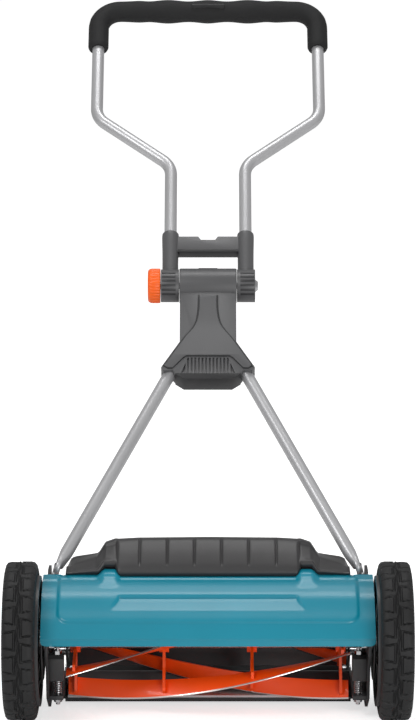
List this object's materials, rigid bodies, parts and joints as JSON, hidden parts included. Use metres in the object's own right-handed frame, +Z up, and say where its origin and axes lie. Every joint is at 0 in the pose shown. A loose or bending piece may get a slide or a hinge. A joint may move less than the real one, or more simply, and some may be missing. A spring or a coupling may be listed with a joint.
{
  "type": "push reel mower",
  "caption": "Hand-pushed reel mower with a geared helical blade reel under a sheet cover, a rear roller and a folding handle with a foam grip.",
  "frame": {"origin": "on the ground at the centre of the footprint", "axes": "+Z up, -Y forward (the way it mows), X along the wheel axle"},
  "size_m": [0.577, 0.9108, 0.9358],
  "materials": {
    "frame_black": "black powder coat",
    "cover_teal": "gloss teal enamel on pressed steel",
    "hood_black": "fine-grained black plastic",
    "zinc_steel": "zinc-plated steel",
    "knife_steel": "ground steel",
    "handle_silver": "satin silver tube",
    "joint_grey": "dark grey moulded plastic",
    "joint_black": "black moulded plastic",
    "blade_orange": "orange paint with ground cutting edges",
    "gear_steel": "sintered steel",
    "tyre_black": "moulded rubber tread",
    "rim_grey": "grey moulded plastic",
    "bush_brass": "sintered bronze",
    "roller_black": "hard plastic",
    "grip_foam": "soft foam",
    "knob_orange": "orange moulded plastic"
  },
  "bodies": {
    "mower_frame": {"side_plate_left": "frame_black", "side_plate_right": "frame_black", "top_cover": "cover_teal", "rear_hood": "hood_black", "deflector": "hood_black", "tie_rod": "zinc_steel", "roller_rod": "zinc_steel", "bedknife_carrier": "frame_black", "bedknife": "knife_steel", "bedknife_screws": "zinc_steel", "carrier_bolts": "zinc_steel", "adjuster_blocks": "hood_black", "adjuster_screws": "zinc_steel", "adjuster_springs": "zinc_steel", "axle_stud_left": "zinc_steel", "axle_stud_right": "zinc_steel", "axle_nuts": "zinc_steel", "bearing_left": "zinc_steel", "bearing_right": "zinc_steel", "gear_covers": "hood_black", "cover_screws": "zinc_steel", "handle_bolts": "zinc_steel", "handle_tube_left": "handle_silver", "handle_tube_right": "handle_silver", "bracket_front": "joint_grey", "bracket_back": "joint_black", "bracket_screws": "zinc_steel", "hinge_barrel": "joint_grey"},
    "wheel_left": {"tyre_left": "tyre_black", "rim_left": "rim_grey", "ring_gear_left": "gear_steel", "hub_bush_left": "bush_brass", "hub_cap_left": "rim_grey"},
    "wheel_right": {"tyre_right": "tyre_black", "rim_right": "rim_grey", "ring_gear_right": "gear_steel", "hub_bush_right": "bush_brass", "hub_cap_right": "rim_grey"},
    "reel": {"reel_shaft": "zinc_steel", "pawl_keys": "gear_steel", "pinion_left": "gear_steel", "pinion_right": "gear_steel", "spider_1": "blade_orange", "spider_2": "blade_orange", "spider_3": "blade_orange", "spider_4": "blade_orange", "blade_1": "blade_orange", "blade_2": "blade_orange", "blade_3": "blade_orange", "blade_4": "blade_orange", "blade_5": "blade_orange"},
    "roller_frame": {"roller_bracket_left": "frame_black", "roller_bracket_right": "frame_black", "roller_axle": "zinc_steel"},
    "roller_drum": {"roller": "roller_black"},
    "upper_handle": {"handle_bow": "handle_silver", "handle_yoke": "joint_grey", "grip": "grip_foam", "hinge_bolt": "zinc_steel"},
    "knob": {"clamp_knob": "knob_orange"}
  },
  "joints": [
    {"name": "reel_spin", "type": "hinge", "parent": "mower_frame", "child": "reel", "pos_m": [0, -0.30669, 0.1], "axis": [1, 0, 0], "continuous": true},
    {"name": "wheel_left_spin", "type": "hinge", "parent": "mower_frame", "child": "wheel_left", "pos_m": [0, -0.3424, 0.113], "axis": [1, 0, 0], "continuous": true},
    {"name": "wheel_right_spin", "type": "hinge", "parent": "mower_frame", "child": "wheel_right", "pos_m": [0, -0.3424, 0.113], "axis": [1, 0, 0], "continuous": true},
    {"name": "height_adjust", "type": "hinge", "parent": "mower_frame", "child": "roller_frame", "pos_m": [0, -0.2224, 0.058], "axis": [1, 0, 0], "range_deg": [-25, 8]},
    {"name": "roller_spin", "type": "hinge", "parent": "roller_frame", "child": "roller_drum", "pos_m": [0, -0.1924, 0.02], "axis": [1, 0, 0], "continuous": true},
    {"name": "handle_fold", "type": "hinge", "parent": "mower_frame", "child": "upper_handle", "pos_m": [0, 0.06519, 0.54559], "axis": [1, 0, 0], "range_deg": [-20, 150]},
    {"name": "knob_turn", "type": "hinge", "parent": "upper_handle", "child": "knob", "pos_m": [-0.08, 0.06519, 0.54559], "axis": [1, 0, 0], "range_deg": [0, 180]}
  ],
  "couplings": [
    {"joint": "wheel_left_spin", "follows": "reel_spin", "ratio": 0.24},
    {"joint": "wheel_right_spin", "follows": "reel_spin", "ratio": 0.24}
  ]
}
